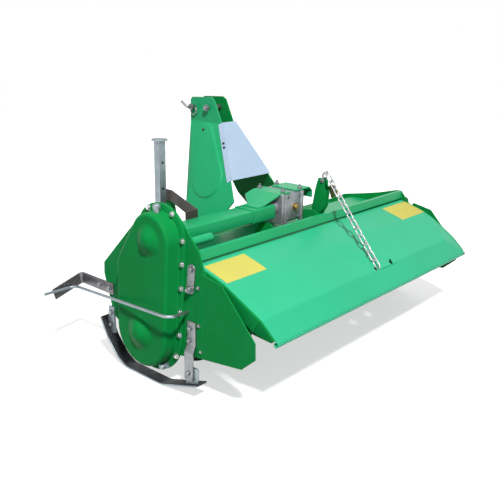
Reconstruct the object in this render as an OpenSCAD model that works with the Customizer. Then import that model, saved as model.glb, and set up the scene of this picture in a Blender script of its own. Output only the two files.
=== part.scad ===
// Rotary tiller for a small tractor's three-point hitch.
// Millimetres, Z up, Y forward (the tractor's side), X to the right seen from behind.
// The pieces are drawn about the rotor's axis and moved at the end, so that
// the origin lies on the ground under the middle of the whole machine.

/* [Frame] */
// Width over the two side plates
frame_w = 1550; // [1500:10:1650]
// Thickness of the side plates
plate_t = 8; // [6:1:10]
// Height of the rotor's axis over the ground
rotor_z = 207; // [205:1:212]
// Gearbox and hitch stand this far left of the middle
hitch_shift = 30; // [10:5:50]
// Thickness of the hood's sheet
sheet_t = 4; // [3:0.5:5]
// Side of the front cross tube
front_tube = 60; // [56:1:62]

/* [Rotor] */
// Radius that the tine tips reach
tip_r = 195; // [180:1:198]
// Radius of the rotor's tube
tube_r = 38; // [34:1:42]
// Thickness of a tine
tine_t = 8; // [6:1:10]
// Width of a tine's bent end
tine_bend = 70; // [50:5:85]
// Tines on one flange
tine_count = 6; // [4:2:6]

/* [Chain case] */
// Depth of the pressed cover
case_depth = 60; // [50:1:66]
// Height of its two domes
dome_h = 26; // [16:1:28]

/* [Apron] */
// Gap between an end of the apron and the side plate
apron_gap = 16; // [14:1:30]
// Radius of the hinge rod
hinge_r = 7; // [6:0.5:8]
// Width of a keyhole's slot
slot_w = 10; // [9:0.5:12]

/* [Mast] */
// Half the gap between the cheeks at the top, to their outer faces
mast_half = 44; // [42:1:50]
// Thickness of a cheek
cheek_t = 8; // [6:1:10]
// Angle at which the cheeks spread below the bend
cheek_splay = 21; // [18:1:22]
// Radius of the top link pin
top_pin_r = 9.5; // [9:0.5:10]
// Radius of the lower hitch pins
low_pin_r = 11; // [10:0.5:12]
// Half the distance between the lower pins' shoulders
low_half = 341.5; // [335:0.5:345]

/* [Stand and skids] */
// Side of the stand's square tube
leg_side = 35; // [32:0.5:36]
// Height that the stored stand reaches
leg_top = 895; // [860:5:910]
// Width of a skid
skid_w = 55; // [50:1:60]
// Thickness of a skid
skid_t = 8; // [6:1:8]

/* [Lift chain] */
// Wire of the chain
wire_d = 6.5; // [6:0.5:7]

/* [Hidden] */
$fn = 48;
half_w = frame_w / 2;
in_w = half_w - plate_t;
apron_half = in_w - apron_gap;
hx = -hitch_shift;
axis_l = [0, rotor_z];
axis_u = [-66, 600];
run = 0.05;
// Extent of the whole machine, for the place of the origin
guard_out = 196;
rod_r = 6;
skid_out = 35;
y_front = 506;
hem_r = 10;
hem_c = [-588, 308];
x_low = -(half_w + guard_out);
x_high = half_w + skid_out;
y_low = hem_c[0] - hem_r;
shift = [-(x_low + x_high) / 2, -(y_low + y_front) / 2, 0];

green = [0.10, 0.50, 0.22];
zinc = [0.66, 0.68, 0.70];
steel = [0.35, 0.35, 0.36];

// Helpers
function unit(v) = v / norm(v);
function left_of(a, b) = let (d = unit(b - a)) [-d[1], d[0]];
function at(a, r) = [r * cos(a), r * sin(a)];
// A polyline moved sideways by t, with mitred corners
function moved(p, t) = [for (i = [0 : len(p) - 1])
    let (n = len(p) - 1,
         m = left_of(p[max(i - 1, 0)], p[max(i, 1)]) + left_of(p[min(i, n - 1)], p[min(i + 1, n)]))
    p[i] + m * (2 * t / (m * m))];
function turned_round(p) = [for (i = [len(p) - 1 : -1 : 0]) p[i]];
// The outline of a sheet whose one face follows the polyline p
function band(p, t) = concat(p, turned_round(moved(p, t)));

// A flat shape in (y, z) made into a plate from x to x + t
module plate_x(x, t) { translate([x, 0, 0]) rotate([90, 0, 90]) linear_extrude(t) children(); }
// A flat shape in (x, z) made into a plate from y to y + t
module plate_y(y, t) { translate([0, y + t, 0]) rotate([90, 0, 0]) linear_extrude(t) children(); }
// A round bar along X, with its axis at (y, z) = c
module bar_x(c, r, x0, x1) { translate([x0, c[0], c[1]]) rotate([0, 90, 0]) cylinder(r = r, h = x1 - x0); }
// A round bar from a to b
module bar(a, b, r) {
    d = b - a;
    translate(a) rotate([0, acos(d[2] / norm(d)), atan2(d[1], d[0])]) cylinder(r = r, h = norm(d));
}
// A tapered obround: two circles and their common tangents
module pair(c1, r1, c2, r2) {
    d = c2 - c1;
    a = atan2(d[1], d[0]);
    b = acos((r1 - r2) / norm(d));
    translate(c1) circle(r = r1);
    translate(c2) circle(r = r2);
    polygon([c1 + at(a + b, r1), c1 + at(a - b, r1), c2 + at(a - b, r2), c2 + at(a + b, r2)]);
}

// Side plates
module plate_low() { polygon([[302, 369], [299, 417], [120, 470], [-240, 470], [-290, 470], [-290, 200], [-239, 162], [-150, 140], [150, 140], [249, 197]]); }

module side_plate_left() color(green)
    plate_x(-half_w, plate_t) difference() {
        union() {
            plate_low();
            polygon([[299, 417], [30.7, 688.7], [-66, 700], [-166, 685], [-260, 583], [-290, 500], [-290, 450], [120, 400]]);
            translate(axis_u) circle(r = 130);
            translate(axis_l) circle(r = 160);
        }
        translate(axis_l) circle(r = 20 + run);
    }

module side_plate_right() color(green)
    plate_x(in_w, plate_t) difference() {
        union() {
            plate_low();
            polygon([[299, 417], [148, 488], [19, 512], [-74, 532], [-178, 561], [-204, 561], [-244, 513], [-290, 470], [-290, 450], [120, 400]]);
            translate(axis_l) circle(r = 150);
        }
        translate(axis_l) circle(r = 20 + run);
    }

// Drive housing from the chain case to the gearbox, with a wider sleeve at the gearbox
module shaft_housing() color(green)
    difference() {
        union() {
            translate([-in_w, axis_u[0] - 50, axis_u[1] - 25]) cube([in_w + hx - 70, 100, 50]);
            translate([hx - 285, axis_u[0] - 54, axis_u[1] - 29]) cube([215, 108, 58]);
        }
        translate([-in_w - 1, axis_u[0] - 44, axis_u[1] - 20]) cube([in_w + hx - 68, 88, 40]);
    }

// Hood: a bent sheet over the rotor, its outer face on this line
hood_line = [[-186, 480], [95, 480], [220, 412], [220, 366], [250, 296]];
module hood() color(green)
    plate_x(-in_w, 2 * in_w) polygon(band(hood_line, -sheet_t));

rail_line = [[-190, 561], [-208, 561], [-211, 524], [-184, 480], [-150, 480]];
module hinge_rail() color(green)
    plate_x(-in_w, 2 * in_w) polygon(band(rail_line, 4));

hinge_c = [-221, 508];
module hinge_rod() color(zinc) bar_x(hinge_c, hinge_r, -in_w, in_w);

module front_tube() color(green)
    difference() {
        translate([-in_w, 220, 430 - front_tube]) cube([2 * in_w, front_tube, front_tube]);
        translate([-in_w - 1, 225, 435 - front_tube]) cube([2 * in_w + 2, front_tube - 10, front_tube - 10]);
    }

// Chain case: flange and hollow pressed cover with two domes
flange_t = 8;
module case_layer(r, x0, x1) { plate_x(x0, x1 - x0) pair(axis_u, 104 + r, axis_l, 138 + r); }
// A dome as a turned profile, from a soft foot over a cone to a rounded top
module dome(c, r, x) {
    translate([x, c[0], c[1]]) rotate([0, -90, 0]) rotate_extrude()
        polygon([[0, -6], [r, -6], [r, 0], [r * 0.92, dome_h * 0.12], [r * 0.46, dome_h * 0.80],
                 [r * 0.34, dome_h * 0.93], [r * 0.18, dome_h], [0, dome_h]]);
}
module chain_case() color(green) {
    x0 = -half_w - flange_t;
    difference() {
        union() {
            case_layer(28, x0, -half_w);
            case_layer(0, x0 - case_depth + 14, x0);
            case_layer(-6, x0 - case_depth + 5, x0 - case_depth + 14);
            case_layer(-14, x0 - case_depth, x0 - case_depth + 5);
            dome(axis_u, 62, x0 - case_depth);
            dome(axis_l, 70, x0 - case_depth);
        }
        case_layer(-20, x0 - case_depth + 10, -half_w + 1);
    }
}

// Filler at the top of the case, drain plug low on its flange
module case_plugs() color(zinc) {
    x0 = -half_w - flange_t;
    translate([x0 - 24, axis_u[0], axis_u[1] + 104.1]) cylinder(r = 11, h = 20);
    translate([x0 - 24, -90, 85]) rotate([0, 90, 0]) cylinder(r = 12, h = 24);
}

// Gearbox: cast block, side flanges, snout to the drive shaft
gb_y0 = -101;
gb_z0 = axis_u[1] - 72;
module gearbox() color([0.62, 0.63, 0.64])
    difference() {
        union() {
            translate([hx - 62, gb_y0, gb_z0]) cube([124, 156, 134]);
            translate([hx - 70, gb_y0 + 3, axis_u[1] - 54]) cube([140, 86, 108]);
            translate([hx, 55, axis_u[1]]) rotate([-90, 0, 0]) cylinder(r = 46, h = 30);
            for (s = [-1, 1]) translate([hx + s * 56 - 9, gb_y0, gb_z0]) cube([18, 20, 134]);
        }
        translate([hx, 20, axis_u[1]]) rotate([-90, 0, 0]) cylinder(r = 17.5 + run, h = 80);
    }

module gearbox_cover() color([0.62, 0.63, 0.64])
    translate([hx - 60, gb_y0 - 12, gb_z0 + 4]) cube([120, 12, 126]);

module gearbox_plug() color([0.70, 0.52, 0.20])
    translate([hx, gb_y0 - 12 - 16, axis_u[1] - 2]) rotate([-90, 0, 0]) cylinder(r = 13, h = 16, $fn = 6);

// Gearbox brackets on its top
gb_top = gb_z0 + 134;
module bracket_left() color(green)
    difference() {
        plate_y(-108, 158) polygon(band([[hx - 22, gb_top], [hx - 96, gb_top], [hx - 214, axis_u[1] + 29], [hx - 250, axis_u[1] + 29]], -6));
        translate([hx, 0, 600]) linear_extrude(100) polygon([[-255, -30], [-214, -22], [-140, 60], [-300, 60], [-300, -30]]);
    }

module bracket_right() color(green)
    plate_y(-104, 144) polygon(band([[hx + 22, gb_top], [hx + 122, gb_top], [hx + 138, gb_top - 16], [hx + 138, gb_top - 46]], 6));

// Upright ribs between the rail and the hood
rib_foot = [[-150, 480], [-150, 484], [-181.5, 484], [-202, 518]];
module hood_gussets() color(green) {
    plate_x(hx - 190, 6) polygon(concat(rib_foot, [[-150, 538], [-129, 556], [-75, 557], [-30, 480]]));
    plate_x(hx + 76, 6) polygon(concat(rib_foot, [[-198, 540], [-186, 562], [-170, 575], [-147, 577], [-108, 571], [-86, 556], [-70, 480]]));
}

// Post that carries the lift chain: two cheeks and a pin
post_x = 94;
post_pin = [-171, 702];
post_line = [[-148, 716], [-177, 716], [-193, 647], [-188, 590], [-163, 545], [-148, 484], [-148, 480], [-100, 480], [-118, 568], [-135, 671]];
module chain_post() color(green) {
    plate_x(post_x, 5) polygon(post_line);
    plate_x(post_x + 27, 5) polygon(post_line);
    bar_x(post_pin, 4.7, post_x + 5, post_x + 27);
}

// Mast: two cheeks, upright at the top and spread below the bend
mast_bend = 928;
rear_y = 300;
top_pin = [477, 996];
top_bolt = [385, 997];
// Pressed field on the outer face of a cheek: its upper and lower round, from the bend down
field_h = 4;
field_up = [389, -60];
field_low = [300, -265];
module cheek() {
    difference() {
        union() {
            plate_x(-mast_half, cheek_t) polygon([[372, 1046], [494, 1040], [y_front, 1026], [y_front, mast_bend], [rear_y, mast_bend], [350, 1034]]);
            translate([cheek_t - mast_half, 0, mast_bend]) rotate([0, cheek_splay, 0])
            {
                plate_x(-cheek_t, cheek_t) polygon([[y_front, 0], [395, -398], [278, -545], [224, -545], [105, -345], [rear_y, 0]]);
                plate_x(-cheek_t - field_h, field_h + 1) pair(field_up, 50, field_low, 92);
            }
        }
        translate([-400, 200, 230]) cube([500, 200, 200]);
        bar_x(top_pin, top_pin_r + run, -mast_half - 1, 0);
        bar_x(top_bolt, 8 + run, -mast_half - 1, 0);
    }
}
module mast_cheek_left() color(green) translate([hx, 0, 0]) cheek();
module mast_cheek_right() color(green) translate([hx, 0, 0]) mirror([1, 0, 0]) cheek();

// Drive shaft shield: a sheet behind the cheeks' rear edges, with flanges on their outer faces
edge_d = unit([105 - rear_y, -345]);
edge_n = [-edge_d[1], edge_d[0]];
shield_t = 2.5;
shield_l = 296;
// The sheet stands this far behind the cheeks' edges, its flanges reach this far over them
shield_back = 9;
shield_over = 18;
module shield_flange() {
    top = [rear_y, 0];
    low = top + edge_d * shield_l;
    translate([cheek_t - mast_half, 0, mast_bend]) rotate([0, cheek_splay, 0])
        plate_x(-cheek_t - shield_t, shield_t) polygon([top - edge_n * (shield_back + 3), top + edge_n * shield_over, low + edge_n * shield_over, low - edge_n * (shield_back + 3)]);
}
module pto_shield() color([0.72, 0.75, 0.78]) translate([hx, 0, 0]) {
    // the two upper and lower corners of the sheet, behind the cheeks' outer edges
    cs = cos(cheek_splay);
    sn = sin(cheek_splay);
    z1 = cheek_t * sn + shield_back * edge_n[1] * -cs;
    z2 = z1 + edge_d[1] * shield_l * cs;
    y1 = rear_y - shield_back * edge_n[0];
    y2 = y1 + edge_d[0] * shield_l;
    w1 = mast_half - cheek_t + (cheek_t + 1) * cs;
    w2 = w1 - edge_d[1] * shield_l * sn;
    translate([0, y1, mast_bend + z1]) rotate([atan2(z2 - z1, y2 - y1) + 180, 0, 0]) translate([0, 0, 0])
        linear_extrude(shield_t) polygon([[-w1, 0], [w1, 0], [w2, -norm([y2 - y1, z2 - z1])], [-w2, -norm([y2 - y1, z2 - z1])]]);
    shield_flange();
    mirror([1, 0, 0]) shield_flange();
}

module top_link_pin() color(zinc) {
    bar_x(top_pin, top_pin_r, hx - mast_half - 22, hx + mast_half + 22);
    bar_x(top_pin, 15, hx - mast_half - 30, hx - mast_half - 22);
}
module mast_bolt() color(zinc) {
    bar_x(top_bolt, 8, hx - mast_half - 14, hx + mast_half + 14);
    bar_x(top_bolt, 13, hx - mast_half + cheek_t, hx + mast_half - cheek_t);
}

// Lower hitch plates on the front tube
low_pin = [350, 536];
// The pin's shank in the plate is this much thinner, so that its shoulder bears on the plate
shank_r = low_pin_r - 1;
module hitch_hole() { translate(low_pin) circle(r = shank_r + run); }
module hitch_plate_left() color(green)
    plate_x(hx - low_half, 12) difference() {
        polygon([[280, 374], [280, 430], [318, 672], [380, 672], [392, 560], [380, 500], [330, 374]]);
        hitch_hole();
    }
module hitch_plate_right() color(green)
    plate_x(hx + low_half - 12, 12) difference() {
        polygon([[280, 374], [280, 430], [310, 572], [380, 572], [392, 550], [380, 500], [330, 374]]);
        hitch_hole();
    }
module hitch_pins() color(zinc) {
    bar_x(low_pin, low_pin_r, hx - low_half - 62, hx - low_half);
    bar_x(low_pin, shank_r, hx - low_half - 1, hx - low_half + 12);
    bar_x(low_pin, low_pin_r, hx + low_half, hx + low_half + 62);
    bar_x(low_pin, shank_r, hx + low_half - 12, hx + low_half + 1);
}

// Flat bar that ties the left hitch plate to the drive housing
module hitch_brace() color(zinc)
    translate([0, 0, 606]) linear_extrude(50)
        polygon(band([[hx - 570, axis_u[0] + 50], [hx - 508, axis_u[0] + 50], [hx - low_half, 320], [hx - low_half, 376]], 8));

// Parking stand, stored foot up in a socket on the front tube
leg_gap = 83.5;
leg_c = [hx - low_half - leg_gap, 220 + front_tube + 4 + 18.5];
sock = leg_side / 2 + 0.5;
module stand_socket() color(green)
    translate([leg_c[0], leg_c[1], 370]) difference() {
        translate([-sock - 4, -22.5, 0]) cube([2 * sock + 8, 22.5 + sock + 4, 80]);
        translate([-sock, -sock, -1]) cube([2 * sock, 2 * sock, 82]);
    }
module stand_leg() color(zinc)
    translate([leg_c[0], leg_c[1], 0]) difference() {
        union() {
            difference() {
                translate([-leg_side / 2, -leg_side / 2, 330]) cube([leg_side, leg_side, leg_top - 336]);
                translate([3 - leg_side / 2, 3 - leg_side / 2, 329]) cube([leg_side - 6, leg_side - 6, leg_top - 340]);
            }
            translate([0, 0, leg_top - 6]) cylinder(r = 35, h = 6);
            translate([0, -38, 456.5]) rotate([-90, 0, 0]) cylinder(r = 6, h = 76);
        }
        for (z = [560, 680, 795]) translate([0, -30, z]) rotate([-90, 0, 0]) cylinder(r = 6.5, h = 60);
    }

// Skids: bent strips with a lug at each end
skid_line = [[-282, 64], [-268, 58], [-82, 0], [140, 0], [168, 9], [196, 30], [256, 98], [292, 165], [300, 180]];
module skid(side) {
    x0 = side < 0 ? -half_w - skid_out : half_w + skid_out - skid_w;
    lug_x = side < 0 ? -half_w - 8 : half_w;
    plate_x(x0, skid_w) polygon(band(skid_line, skid_t));
    plate_x(lug_x, 8) polygon([[256, 112], [281, 158], [272, 232], [238, 232], [236, 112]]);
    plate_x(side < 0 ? lug_x - 8 : lug_x + 8, 8) polygon([[-270, 62], [-206, 43], [-206, 118], [-214, 126], [-262, 126], [-270, 118]]);
}
module skid_left() color(zinc) skid(-1);
module skid_right() color(zinc) skid(1);

// Straps from the side plates to the skids' rear lugs, set out by a lug's thickness
module strap() { plate_y(-249, 44) polygon(band([[half_w, 306], [half_w, 214], [half_w + 16, 182], [half_w + 16, 72]], 8)); }
module skid_strap_left() color(zinc) mirror([1, 0, 0]) strap();
module skid_strap_right() color(zinc) strap();

// Bolted side shields behind the side plates
module deflector_shape() { polygon([[-278, 507], [-252, 470], [-252, 166], [-478, 196], [-541, 253], [-539, 317], [-378, 487]]); }
module deflector_left() color(green) plate_x(-half_w - 5, 5) deflector_shape();
module deflector_right() color(green) plate_x(half_w, 5) deflector_shape();

module link_shape() { pair([-226, 512], 12, [-218, 432], 12); }
module link_plates() color(zinc) {
    plate_x(-half_w - 5, 5) link_shape();
    plate_x(half_w, 5) link_shape();
}

// Guard at the left: a flat bar forward and out, and a round rod past the chain case
module side_guard() color(zinc) {
    a = [-half_w - guard_out, 457 - rod_r, 284];
    b = [-half_w - 48, 457 - rod_r, 284];
    c = [-half_w - 125, -238, 360];
    d = [-half_w - 1, -204, 338];
    plate_x(-half_w - 6, 6) polygon([[238, 286], [462, 286], [462, 336], [238, 336]]);
    plate_y(456, 6) polygon([[-half_w, 336], [-half_w, 286], [-half_w - 132, 246], [-half_w - 148, 254], [-half_w - 150, 276], [-half_w - 138, 292]]);
    bar(a, b + [2, 0, 0], rod_r, $fn = 12);
    bar(b + unit(b - c) * 2, c + unit(c - b) * 2, rod_r, $fn = 12);
    bar(c + unit(c - d) * 2, d, rod_r, $fn = 12);
}

// Rotor bearing on the right side plate
module rotor_bearing() color(green)
    difference() {
        union() {
            bar_x(axis_l, 75, half_w, half_w + 8);
            bar_x(axis_l, 48, half_w + 8, half_w + 28);
        }
        bar_x(axis_l, 20 + run, half_w - 1, half_w + 24);
    }

// Short tube inside the left side plate, under the drive housing
module stub_tube() color(green)
    difference() {
        bar_x([-148, 548], 19, -in_w, -in_w + 165);
        bar_x([-148, 548], 15, -in_w + 5, -in_w + 166);
    }

// Rotor: tube, stub axles, flanges and bent tines, one solid
tube_half = in_w - 77;
flange_x = [for (i = [-2.5 : 2.5]) i * (tube_half - 90) / 2.5];
module tine_flat() {
    polygon(concat([[-18, 30], [-18, 110]],
                   [for (i = [0 : 5]) at(100 + i * 8, 118 + i * (tip_r - 130) / 5)],
                   [at(136, tip_r), at(120, tip_r)],
                   [for (i = [0 : 4]) at(112 - i * 8, tip_r - 12 - i * 14)],
                   [[18, 100], [18, 30]]));
}
module tine_bent() { polygon(concat([for (i = [0 : 4]) at(118 + i * 5.5, tip_r)], [for (i = [4 : -1 : 0]) at(118 + i * 5.5, tip_r - tine_t)])); }
module rotor() color([0.16, 0.17, 0.17]) translate([0, axis_l[0], axis_l[1]]) {
    difference() {
        bar_x([0, 0], tube_r, -tube_half, tube_half);
        bar_x([0, 0], tube_r - 6, 10 - tube_half, tube_half - 10);
    }
    bar_x([0, 0], 20, -half_w + 2, 5 - tube_half);
    bar_x([0, 0], 20, tube_half - 5, half_w + 22);
    for (i = [0 : len(flange_x) - 1]) {
        plate_x(flange_x[i], tine_t) difference() {
            union() {
                circle(r = 82);
                for (k = [0 : tine_count - 1]) rotate(k * 360 / tine_count + i * 20) tine_flat();
            }
            circle(r = tube_r - 2);
        }
        for (k = [0 : tine_count - 1])
            plate_x(flange_x[i] + (k % 2 == 0 ? 0 : tine_t - tine_bend), tine_bend) rotate(k * 360 / tine_count + i * 20) tine_bent();
    }
}

// Input shaft of the gearbox, with six splines
module pto_shaft() color(steel)
    translate([hx, 25, axis_u[1]]) rotate([-90, 0, 0]) difference() {
        cylinder(r = 17.5, h = 145);
        for (k = [0 : 5]) rotate(k * 60) translate([14.8, -4.3, 70]) cube([5, 8.6, 80]);
    }

// Apron: rolled eye on the hinge rod, sheet bent twice, hem, end flanges, two keyholes
eye_r = hinge_r + 4;
hem_gap = 17;
bend_1 = [-359, 480];
bend_2 = [-537, 392];
top_n = left_of(bend_1, hinge_c);
low_n = left_of(hem_c, bend_2);
// The sheet's outer face
apron_line = [hinge_c + top_n * eye_r, bend_1, bend_2, hem_c + low_n * hem_r];
slope_d = unit(bend_2 - bend_1);
slope_n = [slope_d[1], -slope_d[0]];
// The chain's line meets the sheet here, a little over the lower bend
hole_c = bend_2 - slope_d * 24 - slope_n * 2;
key_x = [26, 135];
chain_x = post_x + 16;
link_w = 27;
chain_n = 13;
// The chain runs from the post's pin to just over the sheet
chain_top = [chain_x, post_pin[0], post_pin[1]];
chain_end = [key_x[0], hole_c[0] + slope_n[0] * 4, hole_c[1] + slope_n[1] * 4];
chain_u = unit(chain_top - chain_end);
chain_turn = [0, acos(chain_u[2]), atan2(chain_u[1], chain_u[0])];
// Inside length of a link, from its pitch and the slack between two links
link_p = (norm(chain_top - chain_end) - 36) / (chain_n - 1);
link_in = link_p + 2.8;
// The slot under the chain is turned to lie in the last link's plane
key_dir = cross([-sin(chain_turn[2]), cos(chain_turn[2]), 0], [0, slope_n[0], slope_n[1]]);
key_turn = -atan2(key_dir[0], -key_dir[1] * slope_d[0] - key_dir[2] * slope_d[1]);
module keyhole(x, turn) {
    translate([x, hole_c[0], hole_c[1]]) rotate([atan2(slope_d[1], slope_d[0]) + 180, 0, 0]) rotate([0, 0, turn]) {
        translate([0, -8, -14]) cylinder(r = 13, h = 28);
        translate([-slot_w / 2, -8, -14]) cube([slot_w, 70, 28]);
    }
}
module apron() color(green)
    difference() {
        union() {
            plate_x(-apron_half, 2 * apron_half) polygon(band(apron_line, 4));
            bar_x(hinge_c, eye_r, -apron_half, apron_half);
            bar_x(hem_c, hem_r, hem_gap - apron_half, apron_half - hem_gap);
            for (x = [-apron_half, apron_half - 4])
                plate_x(x, 4) polygon([hinge_c + [-8, 6], bend_1 + [0, -2], bend_2 + [1, -2], hem_c + [-4, 2], hem_c + [6, -8], [-530, 334], [-352, 424], [-236, 470]]);
        }
        bar_x(hinge_c, hinge_r + run, -apron_half - 1, apron_half + 1);
        keyhole(key_x[0], key_turn);
        keyhole(key_x[1], 0);
    }

// Lift chain from the post's pin to the apron's keyhole
module obround(r, s) {
    for (k = [-1, 1]) translate([0, k * s / 2]) circle(r = r, $fn = 24);
    square([2 * r, s], center = true);
}
module link(wide) {
    s = link_in - link_w + 2 * wire_d;
    rotate([90, 0, 90 + wide]) translate([0, 0, -wire_d / 2]) linear_extrude(wire_d) difference() {
        obround(link_w / 2, s);
        obround(link_w / 2 - wire_d, s);
    }
}
module lift_chain() color(zinc)
    translate(chain_top) rotate(chain_turn)
        for (i = [0 : chain_n - 1])
            translate([0, 0, 5.5 - link_in / 2 - i * link_p]) link(i % 2 == 0 ? 90 : 0);

module placed() { translate(shift) children(); }

placed() side_plate_left();
placed() side_plate_right();
placed() shaft_housing();
placed() hood();
placed() hinge_rail();
placed() hinge_rod();
placed() front_tube();
placed() chain_case();
placed() case_plugs();
placed() gearbox();
placed() gearbox_cover();
placed() gearbox_plug();
placed() bracket_left();
placed() bracket_right();
placed() hood_gussets();
placed() chain_post();
placed() mast_cheek_left();
placed() mast_cheek_right();
placed() pto_shield();
placed() top_link_pin();
placed() mast_bolt();
placed() hitch_plate_left();
placed() hitch_plate_right();
placed() hitch_brace();
placed() hitch_pins();
placed() stand_socket();
placed() skid_left();
placed() skid_right();
placed() skid_strap_left();
placed() skid_strap_right();
placed() deflector_left();
placed() deflector_right();
placed() link_plates();
placed() side_guard();
placed() rotor_bearing();
placed() stub_tube();
placed() rotor();
placed() pto_shaft();
placed() apron();
placed() lift_chain();
placed() stand_leg();
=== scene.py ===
# %% [markdown]
# # A rotary tiller, dressed in Blender
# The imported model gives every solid, body and joint. This lesson puts paint,
# plating and castings on them, and makes the pieces whose shape is too soft,
# too round or too small for the plain solids. All lengths are in metres.

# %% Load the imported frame
import math

import bmesh
import bpy
import numpy as np
from mathutils import Matrix


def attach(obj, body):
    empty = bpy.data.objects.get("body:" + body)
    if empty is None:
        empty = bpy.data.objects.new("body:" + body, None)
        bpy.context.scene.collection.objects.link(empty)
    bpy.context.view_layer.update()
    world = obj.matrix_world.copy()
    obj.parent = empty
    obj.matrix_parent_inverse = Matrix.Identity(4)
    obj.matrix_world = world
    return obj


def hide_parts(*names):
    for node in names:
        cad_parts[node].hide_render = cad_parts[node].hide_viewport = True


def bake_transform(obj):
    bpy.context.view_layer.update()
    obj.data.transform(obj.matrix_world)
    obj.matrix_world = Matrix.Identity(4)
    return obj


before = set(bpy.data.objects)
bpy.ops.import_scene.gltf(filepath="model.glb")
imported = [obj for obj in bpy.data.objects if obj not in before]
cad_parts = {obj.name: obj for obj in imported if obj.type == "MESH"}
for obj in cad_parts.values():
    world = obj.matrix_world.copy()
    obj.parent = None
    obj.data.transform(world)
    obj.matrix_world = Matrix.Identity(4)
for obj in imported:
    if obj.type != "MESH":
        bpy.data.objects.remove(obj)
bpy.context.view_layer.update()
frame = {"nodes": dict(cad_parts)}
nodes, scene = frame["nodes"], bpy.context.scene
# The machine was measured about its rotor; the frame's origin lies under the
# middle of its box, so measured points move by this much.
MOVE = np.array([0.0805, 0.046, 0.0])
# Half the width over the two side plates
HALF_W = 0.775
SIDES = ((-1, "left"), (1, "right"))
X, Y, Z = np.eye(3)

# %% [markdown]
# The camera stands behind the machine's left corner, a little above the mast's
# foot. It could be set by eye, but the edges that run parallel on the real
# machine give its place and lens, so it needs no shift, only a small roll.

# %% Camera
AZIMUTH, ELEVATION, ROLL = (math.radians(a) for a in (-48.859, 17.4355, 1.0783))
EYE = np.array([-2.3987, -1.9231, 1.3230]) + MOVE
FOCAL_PX, FRAME_PX, SENSOR_MM = 681.24, 500, 36


def unit(v):
    """v scaled to length 1 along its last axis."""
    v = np.asarray(v, float)
    return v / np.linalg.norm(v, axis=-1, keepdims=True)


def stand(thing, axes, place):
    """Links an object and puts it at a place, with its own x, y and z along axes."""
    turn = np.eye(4)
    turn[:3, :3] = np.array(axes).T
    turn[:3, 3] = place
    thing.matrix_world = Matrix(turn.tolist())
    scene.collection.objects.link(thing)


def camera_axes():
    """Right, up and back from azimuth and elevation, then turned by the roll about back."""
    level = math.cos(ELEVATION)
    back = np.array([math.sin(AZIMUTH) * level, -math.cos(AZIMUTH) * level, math.sin(ELEVATION)])
    right = unit(np.cross(Z, back))
    up = np.cross(back, right)
    c, s = math.cos(ROLL), math.sin(ROLL)
    return c * right + s * up, c * up - s * right, back


lens = bpy.data.cameras.new("camera")
lens.sensor_width = SENSOR_MM
lens.lens = FOCAL_PX / FRAME_PX * SENSOR_MM
lens.clip_start, lens.clip_end = 0.05, 60
camera = bpy.data.objects.new("camera", lens)
stand(camera, camera_axes(), EYE)
scene.camera = camera
print("camera lens", round(lens.lens, 2), "mm at", EYE.round(3))

# %% [markdown]
# A finish is a small tree of nodes. Wiring each Math node by hand hides the
# formula, so a small class holds a socket, and its operators add the nodes:
# shader maths then reads like arithmetic.


# %% A socket that can be added and multiplied
class Val:
    """One output socket of a material's tree. a + b, a - b and a * b add Math nodes."""

    def __init__(self, tree, socket):
        self.tree, self.socket = tree, socket

    def math(self, operation, other, swap=False):
        """A Math node on this value and another, in turned order where swap is set."""
        first, second = (other, self) if swap else (self, other)
        return add_node(self.tree, "ShaderNodeMath", {"operation": operation}, i0=first, i1=second)[0]

    def __add__(self, other): return self.math("ADD", other)
    def __radd__(self, other): return self.math("ADD", other, True)
    def __sub__(self, other): return self.math("SUBTRACT", other)
    def __rsub__(self, other): return self.math("SUBTRACT", other, True)
    def __mul__(self, other): return self.math("MULTIPLY", other)
    def __rmul__(self, other): return self.math("MULTIPLY", other, True)
    def most(self, other): return self.math("MAXIMUM", other)

    def ramp(self, low, high):
        """0 below low, 1 above high and a smooth step between them."""
        smooth = {"interpolation_type": "SMOOTHSTEP"}
        return add_node(self.tree, "ShaderNodeMapRange", smooth, Value=self, From_Min=low, From_Max=high)[0]


def feed(tree, slot, value):
    """Links a Val to an input socket, or writes a number or colour on it."""
    if isinstance(value, Val):
        tree.links.new(value.socket, slot)
    else:
        slot.default_value = value


def feed_all(tree, node, **sockets):
    """Feeds a node's inputs by name, with spaces written as _, or by number as i0, i1 and so on."""
    for key, value in sockets.items():
        numbered = key[0] == "i" and key[1:].isdigit()
        feed(tree, node.inputs[int(key[1:]) if numbered else key.replace("_", " ")], value)


def add_node(tree, kind, settings=None, **sockets):
    """A new node as a list of its outputs, each a Val: its settings come first, then its sockets."""
    made = tree.nodes.new(kind)
    for key, value in (settings or {}).items():
        setattr(made, key, value)
    feed_all(tree, made, **sockets)
    return [Val(tree, out) for out in made.outputs]


print("sockets can be added")


# %% Nodes that the finishes share
def new_material(name):
    """A new material with its tree, its Principled shader and the Object coordinates."""
    made = bpy.data.materials.new(name)
    made.use_nodes = True
    tree = made.node_tree
    shader = next(n for n in tree.nodes if n.type == "BSDF_PRINCIPLED")
    return made, tree, shader, add_node(tree, "ShaderNodeTexCoord")[3]


def noise(tree, where, scale, detail=3.0, roughness=0.5):
    """Noise from 0 to 1 at the coordinates."""
    return add_node(tree, "ShaderNodeTexNoise", Vector=where, Scale=scale, Detail=detail, Roughness=roughness)[0]


def blend(tree, factor, first, second):
    """A colour mixed from two (r, g, b) or linked colours by a factor."""
    ends = [c if isinstance(c, Val) else (*c, 1) for c in (first, second)]
    return add_node(tree, "ShaderNodeMix", {"data_type": "RGBA"}, i0=factor, i6=ends[0], i7=ends[1])[2]


def bump(tree, height, strength, distance):
    """A normal from a height."""
    return add_node(tree, "ShaderNodeBump", Height=height, Strength=strength, Distance=distance)[0]


print("shared nodes ready")

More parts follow.
